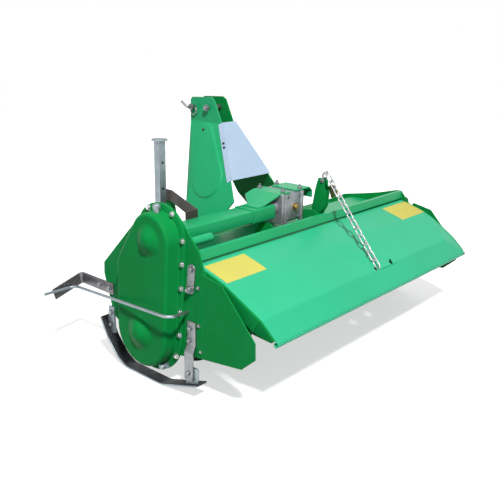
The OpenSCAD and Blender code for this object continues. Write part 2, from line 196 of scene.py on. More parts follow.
# %% [markdown]
# The green is a gloss spray enamel on sheet steel. One flat colour would look
# like plastic. Seen close, the real coat has a faint orange peel, is uneven
# where it is thin, and has dust that gathers in patches and dulls the gloss.
# Noise at three sizes gives these, and the same function makes every paint.

# %% Enamels
DUST = (0.36, 0.38, 0.34)


def enamel(name, colour, thin, gloss=0.24, dust=0.02, shine=0.07):
    """Paint: colour drifts slowly to the thinner coat, orange peel in the bump, dust in the roughness."""
    made, tree, shader, where = new_material(name)
    drift = noise(tree, where, 2.3, 4.0, 0.55).ramp(0.3, 0.75)
    film = noise(tree, where, 9.0, 6.0, 0.62).ramp(0.45, 0.80)
    peel = noise(tree, where, 190.0, 2.0, 0.4)
    wave = noise(tree, where, 5.0, 2.0, 0.5)
    feed_all(tree, shader, Base_Color=blend(tree, film * dust, blend(tree, drift, colour, thin), DUST),
             Roughness=gloss + 0.12 * film + 0.06 * drift,
             Normal=bump(tree, peel * 0.08 + wave, 0.10, 0.004), Specular_IOR_Level=shine)
    return made


# Lighter copies of the same paint stand for the light on the faces that look up to
# the sky: painted light, not a change in the paint.
GREEN = enamel("green_enamel", (0.004, 0.262, 0.055), (0.006, 0.298, 0.070), 0.30, 0.02, 0.035)
PAINTED_LIGHT_GREEN = enamel("painted_light_enamel", (0.014, 0.430, 0.165), (0.022, 0.470, 0.195), 0.30, 0.03, 0.20)
BEAM_PAINTED_LIGHT = enamel("beam_painted_light_enamel", (0.010, 0.385, 0.135), (0.016, 0.425, 0.160), 0.30, 0.03, 0.16)
APRON_PAINTED_LIGHT = enamel("apron_painted_light_enamel", (0.028, 0.500, 0.250), (0.036, 0.540, 0.285), 0.32, 0.03, 0.20)
LABEL = enamel("blank_label", (0.70, 0.64, 0.13), (0.66, 0.59, 0.125), 0.42, 0.08)
DARK = enamel("dark_enamel", (0.020, 0.022, 0.022), (0.035, 0.036, 0.034), 0.42, 0.30)
# A dark brown grey for the plated brace and the shield screws: on the brace it paints the dark surroundings that its
# zinc reflects, a painted reflection.
DARK_REFLECTION_STEEL = enamel("painted_dark_reflection_steel", (0.046, 0.038, 0.036), (0.060, 0.051, 0.048), 0.5, 0.10, 0.25)
print("enamels ready")

# %% [markdown]
# Bright zinc plate is thin and cool, with a soft mottle, fine scratches and
# some grime. Plain steel differs only in its greys, so it shares the function.

# %% Plated and drawn metals
GRIME = (0.20, 0.185, 0.16)


def plated(name, light, dark, rough=0.34, mottle=16.0):
    """Zinc: two greys mixed by a mottle, roughness and fine scratches from noise."""
    made, tree, shader, where = new_material(name)
    cloud = noise(tree, where, mottle, 4.0, 0.6).ramp(0.3, 0.7)
    fine = noise(tree, where, 320.0, 3.0, 0.6)
    grime = noise(tree, where, 6.0, 5.0, 0.65).ramp(0.55, 0.8)
    feed_all(tree, shader, Base_Color=blend(tree, grime * 0.35, blend(tree, cloud, light, dark), GRIME),
             Roughness=rough + 0.12 * cloud + 0.14 * grime, Normal=bump(tree, fine, 0.12, 0.001), Metallic=0.9)
    return made


ZINC = plated("zinc_plate", (0.34, 0.355, 0.365), (0.22, 0.23, 0.24))
CHAIN_ZINC = plated("chain_zinc", (0.66, 0.66, 0.68), (0.50, 0.50, 0.53), 0.28, 60.0)
LEG_ZINC = plated("leg_zinc", (0.33, 0.385, 0.41), (0.27, 0.32, 0.345), 0.42, 22.0)
YELLOW_ZINC = plated("yellow_zinc", (0.55, 0.45, 0.22), (0.40, 0.31, 0.14), 0.32, 40.0)
# Dark steel for the skid's upper face: painted shade.
PAINTED_SHADE_STEEL = plated("painted_shade_steel", (0.080, 0.083, 0.092), (0.050, 0.052, 0.057), 0.42, 24.0)
ROD_STEEL = plated("drawn_steel", (0.22, 0.21, 0.225), (0.14, 0.135, 0.145), 0.30, 30.0)
print("plated metals ready")

# %% [markdown]
# Hot galvanised sheet shows large pale crystals, which a cell pattern gives.
# A sand casting has a pebbled skin instead, which is noise in the bump.


# %% Galvanised sheet and castings
def galvanised(name):
    """Hot-dip sheet: crystal flakes from a cell pattern, each with its own pale blue grey."""
    made, tree, shader, where = new_material(name)
    warp = noise(tree, where, 9.0, 3.0, 0.5)
    cells = add_node(tree, "ShaderNodeTexVoronoi", Vector=where, Scale=55.0)
    flake = add_node(tree, "ShaderNodeSeparateColor", i0=cells[1])[0]
    # The blue in these greys is partly painted reflection of the sky; the pale crystals are the sheet's own.
    body = blend(tree, flake * 0.20 + warp * 0.60, (0.44, 0.58, 0.76), (0.56, 0.69, 0.86))
    feed_all(tree, shader, Base_Color=body, Roughness=0.40 + 0.06 * flake + 0.10 * warp, Metallic=0.55)
    return made


def cast(name, light, dark, metal=0.75, rough=0.48):
    """A sand casting: fine pebbled skin in the bump, darker in the hollows of the noise."""
    made, tree, shader, where = new_material(name)
    skin = noise(tree, where, 260.0, 4.0, 0.6)
    patch = noise(tree, where, 14.0, 4.0, 0.6).ramp(0.3, 0.75)
    feed_all(tree, shader, Base_Color=blend(tree, patch, light, dark), Roughness=rough + 0.12 * patch,
             Normal=bump(tree, skin, 0.30, 0.0015), Metallic=metal)
    return made


GALV = galvanised("galvanised_sheet")
ALUMINIUM = cast("cast_aluminium", (0.40, 0.41, 0.44), (0.27, 0.28, 0.30))
BRASS = cast("brass_plug", (0.42, 0.28, 0.09), (0.29, 0.18, 0.05), 0.9, 0.40)
print("sheet and castings ready")

# %% [markdown]
# Every CAD solid that stays in view takes the finish of the real piece, some in a
# lighter copy of the green that paints the light on them, or in a dark steel that
# paints a dark reflection. Its mesh is left alone: a Weld and a Bevel modifier
# soften the cut edges, which catch the light on real sheet and bar. Rotor and
# chain keep theirs.

# %% Finishes on the solids
EDGE_W, EDGE_ANGLE = 0.0011, math.radians(35)
by_finish = {
    ZINC: ["hinge_rod", "top_link_pin", "mast_bolt", "hitch_pins"],
    LEG_ZINC: ["stand_leg"],
    # The plated brace takes the dark steel of painted reflection.
    DARK_REFLECTION_STEEL: ["hitch_brace"],
    # Faces that look up take the lighter copy of the green: painted light.
    PAINTED_LIGHT_GREEN: ["mast_cheek_left", "bracket_left", "bracket_right", "hood", "hinge_rail"],
    ROD_STEEL: ["pto_shaft"],
    GALV: ["pto_shield"],
    DARK: ["rotor"],
}
finish_of = {name: finish for finish, names in by_finish.items() for name in names}
for name, solid in nodes.items():
    solid.data.materials.clear()
    solid.data.materials.append(finish_of.get(name, GREEN))
    if name in ("rotor", "lift_chain"):
        continue
    joined = solid.modifiers.new("joined", "WELD")
    joined.merge_threshold = 1e-5
    edge = solid.modifiers.new("edge", "BEVEL")
    edge.width, edge.segments = EDGE_W, 2
    edge.limit_method, edge.angle_limit = "ANGLE", EDGE_ANGLE
print("dressed", len(nodes), "solids, edges softened")

# %% [markdown]
# New pieces are surfaces: a function of two parameters gives a whole grid of
# points at once, and neighbours in the grid become quads. That is quicker than
# placing vertices, and the formula stays in view. Measured points are in the
# machine's own frame, about the rotor.


# %% Grids into objects
def quads(nu, nv, wrap_u, wrap_v):
    """Corner numbers of the quads of a grid of nu by nv points, joined up where a direction wraps."""
    rows, columns = np.arange(nu if wrap_u else nu - 1), np.arange(nv if wrap_v else nv - 1)
    a, b = np.meshgrid(rows, columns, indexing="ij")
    a1, b1 = (a + 1) % nu, (b + 1) % nv
    return np.stack([a * nv + b, a1 * nv + b, a1 * nv + b1, a * nv + b1], axis=-1).reshape(-1, 4)


def mesh_of(name, grids, crease=40.0):
    """One mesh from grids (points[..., u, v, 3], wrap_u, wrap_v); a fourth axis in front is a row of copies."""
    points, faces, start = [], [], 0
    for grid, wrap_u, wrap_v in grids:
        many = grid.reshape(-1, *grid.shape[-3:])
        count, nu, nv = many.shape[:3]
        steps = start + np.arange(count)[:, None, None] * nu * nv
        faces.append((quads(nu, nv, wrap_u, wrap_v)[None] + steps).reshape(-1, 4))
        points.append(many.reshape(-1, 3))
        start += count * nu * nv
    made = bpy.data.meshes.new(name)
    made.from_pydata(np.concatenate(points).tolist(), [], np.concatenate(faces).tolist())
    weld = bmesh.new()
    weld.from_mesh(made)
    bmesh.ops.remove_doubles(weld, verts=weld.verts, dist=2e-6)
    weld.to_mesh(made)
    weld.free()
    made.polygons.foreach_set("use_smooth", np.ones(len(made.polygons), bool))
    made.set_sharp_from_angle(angle=math.radians(crease))
    made.update()
    return made


def piece(name, grids, finish, slot, body="frame", crease=40.0, stands_for=(), sheet=0.0):
    """An object of those grids that rides on a body; sheet is the thickness of a one-sided surface."""
    moved = [(np.asarray(g) + MOVE, u, v) for g, u, v in grids]
    made = bpy.data.objects.new(name, mesh_of(name, moved, crease))
    made.data.materials.append(finish)
    scene.collection.objects.link(made)
    if sheet:
        shell = made.modifiers.new("sheet", "SOLIDIFY")
        shell.thickness, shell.offset = sheet, -1
    if body:
        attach(made, body)
    if stands_for:
        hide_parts(*stands_for)
    return made


print("grids become objects")

# %% [markdown]
# A few ways of making a surface cover most of the machine: a section carried
# along a bent line for bars, tubes and rods, a turned profile for bolts and
# plugs, and an outline with a thickness for flat plates.


# %% Lines and sections
def at(x, y, z):
    """Points from three coordinates, each a number or an array."""
    return np.stack(np.broadcast_arrays(*(np.asarray(v, float) for v in (x, y, z))), axis=-1)


def step(low, high, x):
    """The smooth step 3t^2 - 2t^3 of t = (x - low) / (high - low), held at 0 and 1 outside."""
    t = np.clip((x - low) / (high - low), 0, 1)
    return t * t * (3 - 2 * t)


def rounded(points, radius, n=7):
    """A polyline with each inner corner replaced by an arc: centre = p + r / sin(a / 2) along the bisector."""
    p = np.asarray(points, float)
    radius = np.broadcast_to(np.asarray(radius, float), len(p))
    path = [p[:1]]
    for i in range(1, len(p) - 1):
        back, on = unit(p[i - 1] - p[i]), unit(p[i + 1] - p[i])
        half = math.acos(np.clip(back @ on, -1, 1)) / 2
        centre = p[i] + unit(back + on) * radius[i] / math.sin(half)
        first, last = (p[i] + d * radius[i] / math.tan(half) - centre for d in (back, on))
        turn = math.pi - 2 * half
        t = np.linspace(0, 1, n)[:, None]
        path.append(centre + (np.sin((1 - t) * turn) * first + np.sin(t * turn) * last) / math.sin(turn))
    return np.concatenate(path + [p[-1:]])


def circle(r, n=14):
    """n points on a circle of radius r."""
    t = np.arange(n) / n * math.tau
    return np.stack([r * np.cos(t), r * np.sin(t)], axis=-1)


def soft_box(w, h, r, n=4):
    """A rectangle w by h with corners rounded by r."""
    t = np.linspace(0, math.pi / 2, n)
    quarter = np.stack([np.cos(t), np.sin(t)], axis=-1) * r
    turns = [np.array([[c, -s], [s, c]]) for c, s in ((1, 0), (0, 1), (-1, 0), (0, -1))]
    corners = [(w / 2 - r, h / 2 - r), (r - w / 2, h / 2 - r), (r - w / 2, r - h / 2), (w / 2 - r, r - h / 2)]
    return np.concatenate([quarter @ m.T + c for m, c in zip(turns, corners)])


def close_ends(rings):
    """Rings with the middle of the first and of the last beside them, so that both ends close."""
    middle = np.broadcast_to(rings.mean(axis=0, keepdims=True), rings.shape)
    return np.concatenate([middle[:, :1], rings, middle[:, -1:]], axis=1), True, False


def sweep(path, section, side):
    """p(u, v) = path(v) + a(u) A(v) + b(u) B(v), A the part of side across the path, B = T x A; ends closed."""
    path, section = np.asarray(path, float), np.asarray(section, float)
    along = unit(np.gradient(path, axis=0))
    a = unit(side - (along @ side)[:, None] * along)
    b = np.cross(along, a)
    return close_ends(path[None] + section[:, None, :1] * a[None] + section[:, None, 1:] * b[None])


print("sections and paths ready")

# %% [markdown]
# A bolt head is a turned form whose radius follows a hexagon on some rows.
# One formula makes every bolt of a group at once, as copies on an extra axis.

# %% Turned forms and plates
# Radius that closes a turned form on its axis
POINT = 0.0001


def lathe(places, normal, rows, sides=20):
    """Forms on places: r(f) = R (1 - h + h cos 30 / cos(f mod 60 - 30)) at height z, rows of (R, h, z)."""
    n = unit(normal)
    e1 = unit(np.cross(Z if abs(n[2]) < 0.9 else Y, n))
    e2 = np.cross(n, e1)
    f = np.arange(sides * 3) / (sides * 3) * math.tau
    hexagon = math.cos(math.pi / 6) / np.cos(np.mod(f, math.pi / 3) - math.pi / 6)
    radius, share, height = np.asarray(rows, float).T
    r = radius * (1 - share + share * hexagon[:, None])
    ring = r[..., None] * (np.cos(f)[:, None, None] * e1 + np.sin(f)[:, None, None] * e2) + height[:, None] * n
    return np.asarray(places, float).reshape(-1, 1, 1, 3) + ring, True, False


def bolts(places, normal, s, stud=0.0):
    """Hexagon heads of width s on washers; given a stud, they are nuts and it stands out of them by that length."""
    top = 0.60 + stud / s
    rows = [(0.68, 0, 0), (0.68, 0, 0.10), (0.50, 0, 0.10), (0.52, 1, 0.11), (0.56, 1, 0.14), (0.56, 1, 0.46),
            (0.48, 0.3, 0.54)]
    if stud:
        rows += [(0.30, 0, 0.54), (0.30, 0, top - 0.06), (0.24, 0, top), (0.001, 0, top)]
    else:
        rows += [(0.30, 0, 0.56), (0.001, 0, 0.56)]
    return lathe(places, normal, np.array(rows) * (s, 1, s), 8)


def flat_plate(outline, x, thick, soft=0.0012):
    """An upright plate from x on, its (y, z) outline shrunk to its middle at the faces, with a softened edge."""
    q = np.asarray(outline, float)
    mid = q.mean(axis=0)
    size = np.abs(q - mid).max()
    shrink = np.array([0, 1 - soft / size, 1, 1, 1 - soft / size, 0])
    height = np.array([0, 0, soft, thick - soft, thick, thick])
    flat = mid + (q - mid)[:, None] * shrink[None, :, None]
    return at(x + height[None], flat[..., 0], flat[..., 1]), True, False


print("turned forms and plates ready")

# %% [markdown]
# The chain case is a pressed cover. A box with a bevel would miss its waist.
# Its outline is a belt round three circles, over both shafts and over the
# slack side of the chain, and every row of the surface is that outline moved
# out or in by some distance, at some depth. Two soft domes stand over the
# shafts.

# %% Outline of the chain case
SHAFT_UP, SHAFT_LOW, SLACK = np.array([-0.066, 0.600]), np.array([-0.002, 0.212]), np.array([0.028, 0.450])
CASE = [(SHAFT_UP, 0.104), (SLACK, 0.106), (SHAFT_LOW, 0.143)]
ARC_N = 57


def belt(circles, arcs, flanks):
    """Points and outward normals of a belt round circles (c, r), clockwise: an arc on each, then the tangent on."""
    c, r = np.array([q for q, _ in circles]), np.array([q for _, q in circles])
    d, grow = np.roll(c, -1, axis=0) - c, np.roll(r, -1) - r
    leave = np.arctan2(d[:, 1], d[:, 0]) + np.arccos(-grow / np.linalg.norm(d, axis=1))
    meet = np.roll(leave, 1)
    turn = np.mod(meet - leave, math.tau)
    points, normals = [], []
    for i, (n_arc, n_flank) in enumerate(zip(arcs, flanks)):
        f = meet[i] - turn[i] * np.linspace(0, 1, n_arc)
        t = np.linspace(0, 1, n_flank + 2)[1:-1, None]
        arc = np.stack([np.cos(f), np.sin(f)], axis=-1)
        flank = np.repeat(arc[-1:], n_flank, 0)
        points += [c[i] + r[i] * arc, c[i] + t * d[i] + (r[i] + t * grow[i]) * flank]
        normals += [arc, flank]
    return np.concatenate(points), np.concatenate(normals)


def chords(brim, n):
    """Fills an outline with n points on each chord, from the middle of its first arc down both sides."""
    brim = np.roll(brim, -(ARC_N // 2), axis=0)
    half = len(brim) // 2
    near, far = brim[:half + 1], np.roll(brim, -1, axis=0)[::-1][:half + 1]
    k = np.linspace(0, 1, n)[None, :, None]
    return near[:, None] * (1 - k) + far[:, None] * k


print("chain case runs round", len(CASE), "circles")

# %% Chain case cover
CASE_X, CASE_DEPTH = -0.783, 0.060
# Flange: reach, thickness, edge; then the roundings of foot, wall and face
BRIM, BRIM_T, BRIM_EDGE, BRIM_SOFT = 0.028, 0.008, 0.0008, 0.0012
FOOT_R, WALL_IN, FACE_R = 0.006, 0.016, 0.014
DOME_H, DOME_FLAT, DOMES = 0.026, 0.16, [(SHAFT_UP, 0.066), (SHAFT_LOW, 0.076)]


def case_cover():
    """Rows from the flange's edge over the wall and its rounding to the face, which gains the domes' heights."""
    edge, normal = belt(CASE, (ARC_N, 21, ARC_N), (30, 45, 96))
    bend = np.linspace(0, math.pi / 2, 9)
    foot = np.linspace(0, math.pi / 2, 5)
    out = np.concatenate([[BRIM, BRIM, BRIM - BRIM_SOFT], FOOT_R - FOOT_R * np.sin(foot),
                          FACE_R * np.cos(bend) - WALL_IN])
    deep = np.concatenate([[-BRIM_T, -BRIM_EDGE, 0.0], FOOT_R - FOOT_R * np.cos(foot),
                           CASE_DEPTH - FACE_R + FACE_R * np.sin(bend)])
    skirt = edge[:, None] + out[None, :, None] * normal[:, None]
    face = chords(edge + out[-1] * normal, 70)
    rise = sum(DOME_H * (1 - step(DOME_FLAT * r, r, np.linalg.norm(face - c, axis=-1))) for c, r in DOMES)
    return [(at(CASE_X - deep[None], skirt[..., 0], skirt[..., 1]), True, False),
            (at(CASE_X - CASE_DEPTH - rise, face[..., 0], face[..., 1]), False, False)]


piece("chain_case_cover", case_cover(), GREEN, "green_paint", stands_for=["chain_case"])
print("chain case cover", CASE_DEPTH, "m deep")

# %% [markdown]
# Bolts stand on the flange at measured distances along its rim. Placed by eye
# they would drift off it, so they are measured off on a belt of their own. The
# filler cap on top and the drain plug below are turned forms.

# %% Chain case bolts and plugs
BOLT_OUT = 0.018
TOP_BOLTS, FRONT_BOLTS = [0.018, 0.127, 0.264], 0.40 + 0.12 * np.arange(5)
rim, _ = belt([(c, r + BOLT_OUT) for c, r in CASE], (400, 400, 400), (400, 400, 400))
run_of = np.concatenate([[0], np.cumsum(np.linalg.norm(np.diff(rim, axis=0), axis=1))])
rear_bolts = run_of[-1] - 0.071 - 0.096 * np.arange(5)
stations = np.concatenate([TOP_BOLTS, FRONT_BOLTS, rear_bolts])
rim_y, rim_z = (np.interp(stations, run_of, rim[:, i]) for i in (0, 1))
piece("case_bolts", [bolts(at(CASE_X, rim_y, rim_z), -X, 0.017)], CHAIN_ZINC, "zinc")
FILLER_ROWS = [(0.0125, 0, 0), (0.0125, 0, 0.016), (0.0155, 1, 0.016), (0.0155, 1, 0.028),
               (0.010, 0.3, 0.033), (POINT, 0, 0.034)]
DRAIN_ROWS = [(0.016, 0, 0), (0.016, 0, 0.012), (0.0125, 1, 0.012), (0.0125, 1, 0.030),
              (0.009, 0.4, 0.033), (POINT, 0, 0.033)]
filler = lathe([[CASE_X - 0.020, SHAFT_UP[0] - 0.006, SHAFT_UP[1] + 0.100]], Z, FILLER_ROWS, 8)
drain = lathe([[CASE_X, -0.088, 0.083]], -X, DRAIN_ROWS, 8)
piece("case_plug_heads", [filler, drain], LEG_ZINC, "zinc", stands_for=["case_plugs"])
print("chain case with", len(stations), "bolts")

# %% [markdown]
# The apron is one sheet: a rolled eye on the hinge rod, a soft bend, a sharper
# bend and a rolled hem. Its right end took a knock that folded the corner in.
# Sculpting would do, but here every point comes from one function of width and
# distance along the sheet, so holes, labels and ends follow the dent.

# %% Profile of the apron
EYE_AT, EYE_R, EYE_TURN = np.array([-0.221, 0.508]), 0.011, 4.6
HEM_AT, HEM_R, HEM_TURN = np.array([-0.588, 0.308]), 0.010, 5.2
BEND_1, BEND_2 = np.array([-0.359, 0.480]), np.array([-0.537, 0.392])
BEND_R, CREASE_R = 0.40, 0.020
APRON_HALF, APRON_T = 0.751, 0.0032


def right_of(a, b):
    """The unit normal on the right of the way from a to b."""
    d = unit(b - a)
    return np.array([d[1], -d[0]])


def arc_round(middle, r, start, end):
    """Points on an arc round a middle, from one angle to another."""
    t = np.linspace(start, end, 22)
    return middle + r * np.stack([np.cos(t), np.sin(t)], axis=-1)


def apron_profile():
    """(y, z) along the sheet's outer face: arc round the rod, two filleted bends, arc round the hem."""
    up, low = right_of(EYE_AT, BEND_1), right_of(BEND_2, HEM_AT)
    a, b = math.atan2(up[1], up[0]), math.atan2(low[1], low[0])
    eye = arc_round(EYE_AT, EYE_R, a - EYE_TURN, a)
    hem = arc_round(HEM_AT, HEM_R, b, b + HEM_TURN)
    return eye, rounded([eye[-1], BEND_1, BEND_2, hem[0]], [0, BEND_R, CREASE_R, 0], 16), hem


eye_arc, sheet_line, hem_arc = apron_profile()
sheet_s = np.concatenate([[0], np.cumsum(np.linalg.norm(np.diff(sheet_line, axis=0), axis=1))])
SHEET_END = sheet_s[-1]
CREASE_S = sheet_s[np.argmin(np.linalg.norm(sheet_line - BEND_2, axis=1))]
print("apron: crease at", round(float(CREASE_S), 3), "m from the eye, end at", round(float(SHEET_END), 3))

# %% Points on the apron
CORNER_CUT = 0.022
# Dent: where it ends, width, drop, reach up and down; then the ridge at the pinch
DENT_END, DENT_W, DENT_DROP, DENT_UP, DENT_DOWN = 0.748, 0.122, 0.018, 0.146, 0.098
PINCH_H, PINCH_X, PINCH_UP, PINCH_WIDE, PINCH_LONG = 0.004, 0.630, 0.008, 0.016, 0.010


def dent(x, s):
    """Past two lines that meet in a pinch on the crease the sheet drops evenly to its end; a ridge at the pinch."""
    reach = np.where(s < CREASE_S, DENT_UP, DENT_DOWN)
    near = 1 - np.clip(np.abs(s - CREASE_S) / reach, 0, 1)
    fold = DENT_END - DENT_W * near
    away = ((x - PINCH_X) / PINCH_WIDE) ** 2 + ((s - CREASE_S + PINCH_UP) / PINCH_LONG) ** 2
    return PINCH_H * np.exp(-away) - DENT_DROP * np.clip((x - fold) / DENT_W, 0, 1)


def on_sheet(x, s, lift=0.0):
    """The sheet's point at width x and distance s, moved out by lift, with the dent and the cut left corner."""
    x, s = np.broadcast_arrays(np.asarray(x, float), np.asarray(s, float))
    past = np.clip((s - CREASE_S) / (SHEET_END - CREASE_S), 0, 1)
    x = x + CORNER_CUT * np.clip((-x - 0.5) / 0.25, 0, 1.02) * past
    y, z = (np.interp(s, sheet_s, sheet_line[:, i]) for i in (0, 1))
    ahead, behind = (s + 0.003, s - 0.003)
    dy, dz = (np.interp(ahead, sheet_s, q) - np.interp(behind, sheet_s, q) for q in sheet_line.T)
    size = np.hypot(dy, dz)
    out = lift + dent(x, s)
    return np.stack([x, y + dz / size * out, z - dy / size * out], axis=-1)


print("dent drops", DENT_DROP, "m")

# %% [markdown]
# Two keyholes take the chain. A Boolean cut would leave long thin faces, so
# the sheet's grid is left open in two windows, and each window is filled by a
# patch whose inner ring is the keyhole.

# %% Windows for the keyholes
# Keyhole: its round, half its slot's width, the slot's reach, places and turn
KEY_R, SLOT_HALF, SLOT_LONG = 0.0100, 0.0046, 0.026
KEY_X, KEY_TURN, KEY_S = (0.006, 0.1285), 0.78, CREASE_S - 0.006
WINDOW_HALF, WINDOW_UP, WINDOW_DOWN = 0.030, 0.045, 0.0165
SHEET_HALF, FINE_FROM = 0.745, 0.50
windows = [(x - WINDOW_HALF, x + WINDOW_HALF, KEY_S - WINDOW_UP, KEY_S + WINDOW_DOWN) for x in KEY_X]
coarse = [np.linspace(-SHEET_HALF, FINE_FROM, 126), np.linspace(FINE_FROM, SHEET_HALF, 62)]
across_lines = coarse + [np.linspace(w[0], w[1], 31) for w in windows]
down_lines = [np.linspace(0, SHEET_END, 90), sheet_s, np.linspace(windows[0][2], windows[0][3], 31)]
xs, ss = (np.unique(np.round(np.concatenate(lines), 5)) for lines in (across_lines, down_lines))
print("windows in a grid of", len(xs), "by", len(ss))


# %% Keyhole patches
def keyhole(f):
    """Reach of a keyhole at angle f from its round's middle: the round, or the slot's side or end where further."""
    c, s = np.abs(np.cos(f)), np.sin(f)
    slot = np.minimum(SLOT_HALF / np.maximum(c, 1e-6), SLOT_LONG / np.maximum(s, 1e-6))
    return np.where(s > 0, np.maximum(KEY_R, slot), KEY_R)


def window_cells(w):
    """First and last grid lines of a window, across and down."""
    edges = ((xs, w[0]), (xs, w[1]), (ss, w[2]), (ss, w[3]))
    return [int(np.argmin(np.abs(line - v))) for line, v in edges]


def keyhole_patch(x0, w):
    """The sheet between a window's own grid points and the keyhole: p(f, k) = hole(f) + k (frame(f) - hole(f))."""
    i0, i1, j0, j1 = window_cells(w)
    x, s = xs[i0:i1 + 1], ss[j0:j1 + 1]
    ring_x = np.concatenate([x, np.full(len(s) - 1, x[-1]), x[-2::-1], np.full(len(s) - 2, x[0])])
    ring_s = np.concatenate([np.full(len(x), s[0]), s[1:], np.full(len(x) - 1, s[-1]), s[-2:0:-1]])
    f = np.arctan2(KEY_S - ring_s, ring_x - x0)
    reach = keyhole(f + KEY_TURN)
    hole_x, hole_s = x0 + reach * np.cos(f), KEY_S - reach * np.sin(f)
    k = np.linspace(0, 1, 7)[None, :]
    x, s = (a[:, None] + k * (b - a)[:, None] for a, b in ((hole_x, ring_x), (hole_s, ring_s)))
    return on_sheet(x, s), True, False


def sheet_bands():
    """The sheet's grid as bands that leave the windows open: over and under, then left, between and right."""
    points = on_sheet(xs[None, :], ss[:, None])
    cut = [window_cells(w) for w in windows]
    (a, b, lo, hi), (c, d) = cut[0], cut[1][:2]
    bands = [points[:lo + 1], points[hi:]]
    bands += [points[lo:hi + 1, i:j + 1] for i, j in ((0, a), (b, c), (d, len(xs) - 1))]
    return [(band, False, False) for band in bands]


print(len(windows), "keyholes", SLOT_LONG, "m long")

# %% [markdown]
# The ends of the sheet are turned down to stiffen it, and its eye and hem are
# rolled. The labels on it are blank and lie a little over the paint. All take
# their points from the sheet's own function, so no gap opens between them.

# %% Apron
END_R, END_DEPTH, LABEL_S, LABEL_LIFT = 0.006, 0.064, (0.019, 0.142), 0.0004


def rolled(arc, x0, x1):
    """A rolled edge: the arc's points from width x0 to x1."""
    return at(np.linspace(x0, x1, 60)[None], arc[:, :1], arc[:, 1:]), False, False


def end_flange(side):
    """The turned-down end: a small arc, then straight down by a depth that fades towards the eye and the hem."""
    s = ss[(ss > 0.004) & (ss < SHEET_END - 0.012)]
    t = np.linspace(0, math.pi / 2, 6)
    depth = np.minimum(END_DEPTH, 0.9 * (SHEET_END - s)) * step(0, 0.10, s)
    x = np.concatenate([SHEET_HALF + END_R * np.sin(t), np.full(5, APRON_HALF)])
    bend = np.broadcast_to(END_R * (1 - np.cos(t)), (len(s), 6))
    fall = np.concatenate([bend, END_R + depth[:, None] * np.linspace(0.2, 1, 5)], axis=1)
    made = on_sheet(side * x[None, :], s[:, None], -fall)
    return (made if side > 0 else made[:, ::-1]), False, False


def label(x0, x1):
    """A label as a thin patch that lies over the sheet."""
    x, s = np.linspace(x0, x1, 24)[None, :], np.linspace(*LABEL_S, 14)[:, None]
    return on_sheet(x, s, LABEL_LIFT), False, False


edges = [rolled(eye_arc, -APRON_HALF, APRON_HALF), rolled(hem_arc, -0.726, 0.748)]
patches = [keyhole_patch(x, w) for x, w in zip(KEY_X, windows)]
end_line = on_sheet(0.7475, np.linspace(0.03, SHEET_END - 0.014, 60), -0.002)
mark_line = on_sheet(np.linspace(0.030, 0.172, 16), CREASE_S + 0.006, 0.0002)
on_apron = {"slot": "green_paint", "body": "apron"}
piece("apron_ends", [end_flange(-1), end_flange(1)], GREEN, crease=28, sheet=APRON_T, **on_apron)
# The bead along the right end takes the plain, darker green: painted shade on the bend's edge.
piece("apron_end_bend_painted_shade", [sweep(end_line, circle(0.0035, 10), X)], GREEN, **on_apron)
# The sheet takes a lighter copy of the green than its turned-down ends: painted light.
piece("apron_sheet", sheet_bands() + edges + patches, APRON_PAINTED_LIGHT, crease=28, stands_for=["apron"], sheet=APRON_T,
      **on_apron)
piece("crease_mark", [sweep(mark_line, circle(0.0011, 6), Z)], GREEN, **on_apron)
piece("apron_labels", [label(-0.7305, -0.5095), label(0.522, 0.743)], LABEL, None, body="apron")
print("apron with two labels")

# %% [markdown]
# The lift chain hangs in a shallow curve from the post to the apron's keyhole.
# Each link is a ring of round wire, every other one turned by a quarter. An
# Array modifier on a curve would bend the links, so each gets its own place.

# %% Lift chain
CHAIN_TOP, CHAIN_FOOT = np.array([0.110, -0.186, 0.736]), np.array([0.020, -0.533, 0.399])
CHAIN_SAG, WIRE, LINK_R, LINKS = 0.004, 0.0038, 0.0125, 12
PITCHES = LINKS - 0.1


def chain_links():
    """Links on c(t) = top + t (foot - top) - 4 sag t (1 - t) z; in each, wire p = ring(f) + r (cos g N + sin g B)."""
    t = (np.arange(LINKS) + 0.46) / PITCHES
    way = CHAIN_FOOT - CHAIN_TOP
    middle = CHAIN_TOP + t[:, None] * way - (4 * CHAIN_SAG * t * (1 - t))[:, None] * Z
    along = unit(way - (4 * CHAIN_SAG * (1 - 2 * t))[:, None] * Z)
    wide = unit(np.cross(along, Z))
    tall = np.cross(wide, along)
    odd = (np.arange(LINKS) % 2 == 1)[:, None]
    across, off = np.where(odd, tall, wide), np.where(odd, wide, -tall)
    half = np.linalg.norm(way) / PITCHES / 2 + WIRE - LINK_R
    f = np.linspace(0, math.tau, 28, endpoint=False)
    out = np.stack([np.cos(f), np.sin(f)], axis=-1)
    ring = LINK_R * out + half * np.sign(out[:, :1]) * np.array([1, 0])
    g = np.linspace(0, math.tau, 10, endpoint=False)
    flat = ring[:, None] + WIRE * np.cos(g)[None, :, None] * out[:, None]
    lift = np.broadcast_to(WIRE * np.sin(g), flat.shape[:2])[..., None]
    middle, along, across, off = (v[:, None, None] for v in (middle, along, across, off))
    return middle + flat[..., :1] * along + flat[..., 1:] * across + lift * off, True, True


chain = piece("lift_chain_links", [chain_links()], CHAIN_ZINC, "zinc", body=None, stands_for=["lift_chain"])
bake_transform(chain)
print("chain of", LINKS, "links")

# %% [markdown]
# A shackle holds the chain on its post, and a flat latch hangs beside it. The
# shackle is bent rod, so a circle is swept along its line. The latch was cut
# from plate, so its outline gets a thickness.

